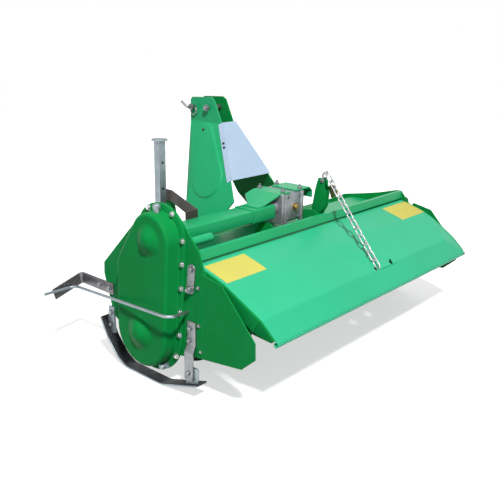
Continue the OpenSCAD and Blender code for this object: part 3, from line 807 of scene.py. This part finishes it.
# %% Shackle and latch
SHACKLE_Y, SHACKLE_Z = -0.172, 0.706
shackle = rounded([(0.095, SHACKLE_Y, SHACKLE_Z), (0.095, SHACKLE_Y, 0.737), CHAIN_TOP + 0.015 * Z,
                   (0.125, SHACKLE_Y, 0.737), (0.125, SHACKLE_Y, SHACKLE_Z)], 0.010)
shackle_ends = [bolts([(0.126, SHACKLE_Y, SHACKLE_Z)], X, 0.015), bolts([(0.094, SHACKLE_Y, SHACKLE_Z)], -X, 0.015)]
piece("chain_shackle", [sweep(shackle, circle(0.0045), Y)] + shackle_ends, ZINC, "zinc")
latch = rounded([(-0.205, 0.684), (-0.190, 0.690), (-0.178, 0.672), (-0.196, 0.622),
                 (-0.232, 0.640), (-0.226, 0.676), (-0.205, 0.684)], 0.006)
piece("chain_latch", [flat_plate(latch[:-1], 0.134, 0.005)], YELLOW_ZINC, "zinc")
print("shackle and latch")

# %% [markdown]
# The guard past the chain case is a bent rod on a flat bar. Both are sections
# swept along bent lines, with an arc at each bend as a press would leave it.

# %% Guard
rod = rounded([(-0.971, 0.451, 0.284), (-0.823, 0.451, 0.284), (-0.900, -0.238, 0.360), (-0.776, -0.204, 0.338)],
              [0, 0.030, 0.030, 0])
bar = rounded([(-0.778, 0.238, 0.311), (-0.778, 0.459, 0.311), (-0.922, 0.459, 0.268)], [0, 0.016, 0], 9)
piece("guard_rod", [sweep(rod, circle(0.006, 16), Z)], LEG_ZINC, "bare_steel", stands_for=["side_guard"])
piece("guard_bar", [sweep(bar, soft_box(0.050, 0.006, 0.0015), Z)], ROD_STEEL, "bare_steel")
print("guard of", len(rod), "and", len(bar), "stations")

# %% [markdown]
# A skid is a strip bent up at the front. Its upper face lies in shade, and that
# shade is painted into a dark steel. Its outer edge catches the light, so the
# edge is a thin bright rod along the strip: a painted highlight. Lugs and a strap
# hold it.

# %% Forms of skid, lug and strap
SKID_LINE = [(-0.282, 0.064), (-0.268, 0.058), (-0.082, 0.0), (0.140, 0.0),
             (0.196, 0.030), (0.256, 0.098), (0.292, 0.165), (0.300, 0.180)]
SKID_BENDS = [0, 0.01, 0.12, 0.09, 0.10, 0.12, 0.06, 0]
SKID_W, SKID_T, SKID_REACH, EDGE_OUT = 0.055, 0.008, 0.035, 0.0257
LUG_T, STRAP_Y = 0.008, -0.227
LUG_FRONT = [(0.245, 0.112), (0.256, 0.112), (0.281, 0.158), (0.272, 0.232),
             (0.238, 0.232), (0.236, 0.112), (0.245, 0.112)]
LUG_REAR = [(-0.240, 0.052), (-0.206, 0.043), (-0.206, 0.122), (-0.214, 0.126),
            (-0.262, 0.126), (-0.270, 0.118), (-0.270, 0.062), (-0.240, 0.052)]


def skid(side, section, out=0.0):
    """A section along the skid's line, half the strip's thickness over the ground's side and moved outward by out."""
    line = rounded(SKID_LINE, SKID_BENDS)
    y, z = unit(np.gradient(line, axis=0)).T
    line = line + SKID_T / 2 * np.stack([-z, y], axis=-1)
    return sweep(at(side * (HALF_W + SKID_REACH - SKID_W / 2 + out), line[:, 0], line[:, 1]), section, X)


def lug(side, outline, radius, layer):
    """An upright plate on a side plate, the layer counted outward."""
    inner = HALF_W + layer * LUG_T
    return flat_plate(rounded(outline, radius)[:-1], inner if side > 0 else -inner - LUG_T, LUG_T)


def strap(side):
    """A flat bar down the side plate, with a small step outward."""
    near, far = HALF_W + 0.004, HALF_W + 0.020
    line = rounded([(near, 0.306), (near, 0.214), (far, 0.182), (far, 0.072)], [0, 0.02, 0.02, 0])
    return sweep(at(side * line[:, 0], STRAP_Y, line[:, 1]), soft_box(0.044, 0.008, 0.0015), Y)


print("skid line of", len(SKID_LINE), "points")

# %% Skids and straps
for side, name in SIDES:
    # The strip takes dark steel for its shade and the edge rod bright zinc for its lit edge: painted shade and painted
    # highlight.
    strip, edge = skid(side, soft_box(SKID_W, SKID_T, 0.0016)), skid(side, circle(SKID_T / 2, 10), EDGE_OUT)
    held_by = [lug(side, LUG_FRONT, 0.006, 0), lug(side, LUG_REAR, 0.004, 1)]
    piece("skid_strip_" + name, [strip], PAINTED_SHADE_STEEL, "zinc", stands_for=["skid_" + name])
    piece("skid_painted_highlight_and_lugs_" + name, [edge] + held_by, LEG_ZINC, "zinc")
    piece("strap_bar_" + name, [strap(side)], ZINC, "zinc", stands_for=["skid_strap_" + name])
print("two skids", SKID_W, "m wide")

# %% [markdown]
# Bolts hold the plates on both sides. They are too small for the solids, and
# modelled one by one they would fill the outliner, so each group is one object.


# %% Bolts and link plates
def both(points, depth):
    """The same (y, z) points on both side plates, depth over them, each with its outward direction."""
    y, z = np.asarray(points, float).T
    return [(at(s * (HALF_W + depth), y, z), s * X) for s in (-1, 1)]


def bolt_group(name, groups, s, stud=0.0):
    """One object of bolts on several groups of (places, direction)."""
    return piece(name, [bolts(p, n, s, stud) for p, n in groups], ZINC, "zinc")


LINK, LINK_END, LINK_T = np.array([(-0.228, 0.512), (-0.220, 0.432)]), 0.019, 0.005
GUARD_X, GUARD_Z = -0.781, 0.311
bolt_group("shield_plate_bolts", both([(-0.264, 0.449), (-0.267, 0.301), (-0.277, 0.199)], 0.005), 0.011)
link_line, _ = belt([(end, LINK_END) for end in LINK], (16, 16), (2, 2))
link_plates = [flat_plate(link_line[::-1], x, LINK_T) for x in (-HALF_W - LINK_T, HALF_W)]
piece("link_plates_round", link_plates, ZINC, "zinc", stands_for=["link_plates"])
bolt_group("link_bolts", both(LINK[:1], LINK_T), 0.019)
bolt_group("link_nuts", both(LINK[1:], LINK_T), 0.024, 0.006)
strap_at = both([(-0.221, 0.277), (-0.217, 0.226)], 0.008) + both([(STRAP_Y, 0.100)], 0.024)
bolt_group("strap_bolts", strap_at, 0.016)
bolt_group("skid_bolts", both([(0.255, 0.205), (0.259, 0.150)], 0.008), 0.018)
bolt_group("guard_bolts", [(at(GUARD_X, [0.264, 0.330], GUARD_Z), -X)], 0.018)
print("bolts on the side plates")

# %% [markdown]
# The gearbox is a casting: a block with soft corners, a column at each rear
# corner, a raised cover between them, a boss for the plug and a flange on each
# side. Soft blocks that run into each other look like one casting once they
# share its finish. Studs stand on its corners and hold the brackets.

# %% Gearbox
GB_X, GB_Z, GB_BACK, GB_FRONT, GB_TOP = -0.030, 0.595, -0.101, 0.055, 0.668
PLUG_X, PLUG_Z = GB_X + 0.002, 0.598
COLUMN_Z = [0.524, 0.530, 0.655, 0.661]
BOSS_ROWS = [(0.024, 0, -0.004), (0.023, 0, 0.002), (0.019, 0, 0.004), (POINT, 0, 0.004)]
SNOUT_ROWS = [(0.060, 0, 0), (0.060, 0, 0.010), (0.046, 0, 0.014),
              (0.044, 0, 0.034), (0.019, 0, 0.034), (0.019, 0, 0.020)]


def along_y(x, z, y0, y1, w, h, r):
    """A soft block of w by h round (x, z) from y0 to y1, its ends a little smaller."""
    y = np.array([y0, y0 + 0.0005, y0 + 0.002, y0 + 0.005, y1 - 0.005, y1 - 0.002, y1 - 0.0005, y1])
    inset = np.array([0.005, 0.0032, 0.0012, 0, 0, 0.0012, 0.0032, 0.005])
    flat = soft_box(w, h, r, 6)[:, None] * (1 - 2 * inset[None, :, None] / np.array([w, h]))
    return close_ends(at(x + flat[..., 0], y[None], z + flat[..., 1])[::-1])


block = along_y(GB_X, GB_Z, GB_BACK, GB_FRONT, 0.122, 0.132, 0.012)
cheeks = along_y(GB_X, GB_Z + 0.005, GB_BACK + 0.006, -0.018, 0.140, 0.106, 0.016)
cover = along_y(GB_X, GB_Z, GB_BACK - 0.008, GB_BACK + 0.01, 0.094, 0.116, 0.014)
boss = lathe([[PLUG_X, GB_BACK - 0.007, PLUG_Z]], -Y, BOSS_ROWS)
snout = lathe([[GB_X, GB_FRONT - 0.004, SHAFT_UP[1]]], Y, SNOUT_ROWS)
collar = along_y(-0.116, 0.597, -0.120, 0.030, 0.018, 0.136, 0.005)
axle = sweep(at([-0.185, -0.100], *SHAFT_UP), circle(0.030, 24), Y)
columns = [sweep(at(GB_X + s * 0.058, GB_BACK - 0.004, COLUMN_Z), circle(0.0115, 18), X) for s in (-1, 1)]
ribs = [along_y(GB_X + s * 0.064, GB_Z + dz, GB_BACK + 0.004, 0.040, 0.018, 0.008, 0.003)
        for s in (-1, 1) for dz in (-0.048, 0.052)]
casting = [block, cheeks, cover, boss, snout, collar, axle] + columns + ribs
piece("gearbox_casting", casting, ALUMINIUM, "cast_aluminium", stands_for=["gearbox", "gearbox_cover"])
print("gearbox of", len(casting), "forms")

# %% Gearbox bolts and plug
PLUG_ROWS = [(0.015, 0, 0), (0.015, 0, 0.004), (0.0125, 1, 0.004), (0.0125, 1, 0.014),
             (0.010, 0.3, 0.016), (POINT, 0, 0.0165)]
# A column of one coordinate and a row of another spread to a grid of places.
cover_at = at(GB_X + np.array([[-0.038], [0.038]]), GB_BACK - 0.008, GB_Z + np.array([-0.050, 0.050]))
sides = [bolts(at(GB_X + s * 0.070, [[-0.085], [-0.030]], [0.556, 0.598, 0.642]), s * X, 0.013) for s in (-1, 1)]
studs = at(GB_X + np.array([[-0.060], [0.062]]), [-0.092, 0.042], GB_TOP)
piece("gearbox_bolts", [bolts(cover_at, -Y, 0.011)] + sides, ZINC, "zinc")
piece("bracket_studs", [bolts(studs, Z, 0.018, 0.008)], ZINC, "zinc")
plug = lathe([[PLUG_X, GB_BACK - 0.011, PLUG_Z]], -Y, PLUG_ROWS, 8)
piece("gearbox_plug_head", [plug], BRASS, "brass", stands_for=["gearbox_plug"])
print("gearbox bolts and", studs[..., 0].size, "studs")

# %% [markdown]
# The drive housing is a flat square tube with a wider sleeve at its right end.
# It stops short of the gearbox, and a round sleeve bridges the gap. Plain
# boxes would have sharp edges, so a rounded section runs along the shaft.

# %% Drive housing
TUBES = [(-0.755, -0.182, 0.100, 0.050), (-0.315, -0.174, 0.108, 0.058)]
tubes = [sweep(at([x0, x1], *SHAFT_UP), soft_box(w, h, 0.004), Y) for x0, x1, w, h in TUBES]
# The tubes take a lighter copy of the green: painted light on the beam.
piece("shaft_housing_tubes", tubes, BEAM_PAINTED_LIGHT, "green_paint", stands_for=["shaft_housing"])
print("drive housing of", len(tubes), "tubes")

# %% [markdown]
# A pressed field stiffens each mast cheek. It is a low relief with a smooth
# edge, which a bump map would lose at the outline, so it is a surface that
# rises from the cheek. Two small screws and a bolt on each side hold the
# shield.

# %% Mast
SPLAY, BEND_Z, CHEEK_IN, CHEEK_T, MAST_X = math.radians(21), 0.928, 0.036, 0.008, -0.030
FIELD = [(np.array([0.389, -0.060]), 0.050), (np.array([0.300, -0.265]), 0.092)]
FIELD_H, FIELD_SUNK, FIELD_OUT, FIELD_IN = 0.0062, 0.0004, 0.004, -0.006


def on_cheek(side, y, z, out):
    """A point on a cheek: y forward, z down its slope from the bend, out over its outer face."""
    w = CHEEK_T + out
    return at(MAST_X + side * (CHEEK_IN + w * math.cos(SPLAY) - z * math.sin(SPLAY)), y,
              BEND_Z + w * math.sin(SPLAY) + z * math.cos(SPLAY))


def field(side):
    """Rows of the field's outline moved in from outside it, rising by a smooth step, closed by chords."""
    edge, normal = belt(FIELD, (ARC_N, ARC_N), (24, 24))
    away = np.linspace(FIELD_OUT, FIELD_IN, 10)
    slope = edge[:, None] + away[None, :, None] * normal[:, None]
    rise = FIELD_H * step(FIELD_OUT, FIELD_IN, away) - FIELD_SUNK
    face = chords(slope[:, -1], 14)
    grids = [on_cheek(side, slope[..., 0], slope[..., 1], rise[None]),
             on_cheek(side, face[..., 0], face[..., 1], rise[-1])]
    return [((g if side < 0 else g[:, ::-1]), wrap, False) for g, wrap in zip(grids, (True, False))]


# The left field takes the lighter copy of the green and the right one the plain green: painted light and shade.
piece("mast_field_left", field(-1), PAINTED_LIGHT_GREEN, "green_paint")
piece("mast_field_right", field(1), GREEN, "green_paint")
# The screws follow the shield's sloping edge.
edge_d = unit([-0.195, -0.345])
edge_n = np.array([-edge_d[1], edge_d[0]])
screw = np.array([0.300, 0.0]) + np.outer([0.103, 0.124], edge_d) + 0.004 * edge_n
for side, name in SIDES:
    out = unit([side * math.cos(SPLAY), 0, math.sin(SPLAY)])
    small = bolts(on_cheek(side, screw[:, 0], screw[:, 1], 0.0026), out, 0.009)
    large = bolts(on_cheek(side, np.array([0.399]), np.array([-0.041]), FIELD_H - FIELD_SUNK), out, 0.010)
    piece("shield_screws_" + name, [small, large], DARK_REFLECTION_STEEL, "zinc")
print("mast fields", FIELD_H, "m high")

# %% [markdown]
# The top pin has a bent handle, a ring and a spring clip. The lower pins end in
# a chamfer, a short tube runs inside the left plate, and a weld seam joins each
# shield to its plate. Rods, tubes and seams are swept circles, so they share
# one function, and only the chamfered ends are turned.

# %% Pins, hitch and seams
TOP_PIN_Y, TOP_PIN_Z, MAST_BOLT_Y, MAST_BOLT_Z = 0.477, 0.996, 0.385, 0.997
LOW_PIN_Y, LOW_PIN_Z = 0.350, 0.536
PIN_END_ROWS = [(0.0110, 0, -0.002), (0.0108, 0, 0.002), (0.0085, 0, 0.006), (POINT, 0, 0.006)]
HITCH_PLATE = [(0.300, 0.374), (0.330, 0.374), (0.380, 0.500), (0.392, 0.560), (0.382, 0.612),
               (0.318, 0.612), (0.280, 0.430), (0.280, 0.374), (0.300, 0.374)]


def wire_ring(x, r, z):
    """A ring of wire across X at the top pin."""
    f = np.linspace(0, math.tau, 25)
    return sweep(at(x, TOP_PIN_Y + r * np.cos(f), z + r * np.sin(f)), circle(0.003, 10), X)


handle = rounded([(-0.104, TOP_PIN_Y, TOP_PIN_Z), (-0.124, TOP_PIN_Y, TOP_PIN_Z),
                  (-0.128, 0.500, 1.012), (-0.128, 0.512, 1.020)], [0, 0.008, 0.008, 0])
rings = [wire_ring(0.030, 0.020, 0.978), wire_ring(-0.083, 0.019, 0.977)]
piece("top_pin_handle", [sweep(handle, circle(0.0065), Z)] + rings, ZINC, "zinc")
nuts = [bolts([(x, MAST_BOLT_Y, MAST_BOLT_Z)], n, 0.022) for x, n in ((-0.088, -X), (0.028, X))]
piece("mast_bolt_ends", nuts, ZINC, "zinc")
stub = at([-0.767, -0.760, -0.606, -0.602], -0.150, 0.582)
# The stub takes the lighter copy of the green: painted light.
piece("stub_tube_round", [sweep(stub, circle(0.0175, 24), Z)], PAINTED_LIGHT_GREEN, "green_paint", stands_for=["stub_tube"])
left_plate = flat_plate(rounded(HITCH_PLATE, 0.008)[:-1], -0.3715, 0.012)
piece("hitch_plate_round", [left_plate], GREEN, "green_paint", stands_for=["hitch_plate_left"])
pin_ends = [lathe([(x, LOW_PIN_Y, LOW_PIN_Z)], n, PIN_END_ROWS) for x, n in ((-0.4335, -X), (0.3735, X))]
piece("hitch_pin_ends", pin_ends, ZINC, "zinc")
seams = [sweep(at(s * (HALF_W + 0.0055), -0.279, np.linspace(0.175, 0.470, 8)), circle(0.0032, 10), Y) for s in (-1, 1)]
piece("shield_plate_seams", seams, GREEN, "green_paint")
print("pins, hitch plate and", len(seams), "seams")

# %% [markdown]
# The machine stands on plain white ground. A floor that bright would flood the
# shaded sides with light, so floor and world are white to the eye and to
# reflections only. For all other rays there is a grey floor and a dim sky.

# %% Floor and world
FLOOR_HALF, FLOOR_CELLS = 9.0, 8


def lit_white(tree):
    """1 for rays from the eye, from reflections and through glass, else 0."""
    path = tree.nodes.new("ShaderNodeLightPath")
    pick = [Val(tree, path.outputs[k]) for k in ("Is Camera Ray", "Is Glossy Ray", "Is Transmission Ray")]
    return pick[0].most(pick[1]).most(pick[2])


def floor_finish():
    """Pale and matt: its own light grows with the distance, so that the edge of the floor is lost in white."""
    made, tree, shader, where = new_material("pale_floor")
    white = lit_white(tree)
    grain = noise(tree, where, 30.0)
    far = add_node(tree, "ShaderNodeVectorMath", {"operation": "LENGTH"}, i0=where)[1].ramp(1.6, 3.2)
    feed_all(tree, shader, Base_Color=blend(tree, white, (0.20, 0.20, 0.20), (0.88, 0.88, 0.88)),
             Emission_Color=blend(tree, white * (0.60 + 0.40 * far), (0, 0, 0), (1, 1, 1)),
             Roughness=0.88 + 0.06 * grain, Emission_Strength=1.0, Specular_IOR_Level=0.0)
    return made


floor_x = np.linspace(-FLOOR_HALF, FLOOR_HALF, FLOOR_CELLS + 1)
floor_grid = at(floor_x[:, None], floor_x[None], 0.0)
floor = bpy.data.objects.new("floor", mesh_of("floor", [(floor_grid, False, False)]))
scene.collection.objects.link(floor)
floor.data.materials.append(floor_finish())

world = bpy.data.worlds.new("sky")
scene.world = world
world.use_nodes = True
tree = world.node_tree
height = add_node(tree, "ShaderNodeSeparateXYZ", Vector=add_node(tree, "ShaderNodeTexCoord")[0])[2]
sky = 0.06 + 0.34 * height.ramp(0.0, 0.9)
white = lit_white(tree)
shade = next(n for n in tree.nodes if n.type == "BACKGROUND")
feed_all(tree, shade, Strength=white + (1 - white) * sky, Color=(1, 1, 1, 1))
print("floor and sky set")

# %% [markdown]
# The shadows of the chain on the apron and of the guard on the chain case give
# the sun: it stands behind the machine on the left, high up. A small square
# lamp far off gives soft-edged shadows, and a weak one opens the shaded side.

# %% Lamps
SUN = unit([-0.60, -0.70, 1.0])
AIM, SUN_FAR = 0.4 * Z, 7.5


def area_lamp(name, place, aim, size, power):
    """A square lamp at place, turned to aim."""
    data = bpy.data.lights.new(name, "AREA")
    data.size, data.energy = size, power
    back = unit(np.array(place, float) - np.array(aim, float))
    side = unit(np.cross([0, 1, 0.01], back))
    stand(bpy.data.objects.new(name, data), (side, np.cross(back, side), back), place)


area_lamp("sun", AIM + SUN_FAR * SUN, AIM, 0.5, 525)
area_lamp("fill", (-4.0, 0.4, 2.0), (-0.3, 0.0, 0.4), 2.4, 9)
scene.view_settings.view_transform = "Standard"
print("lamps set")
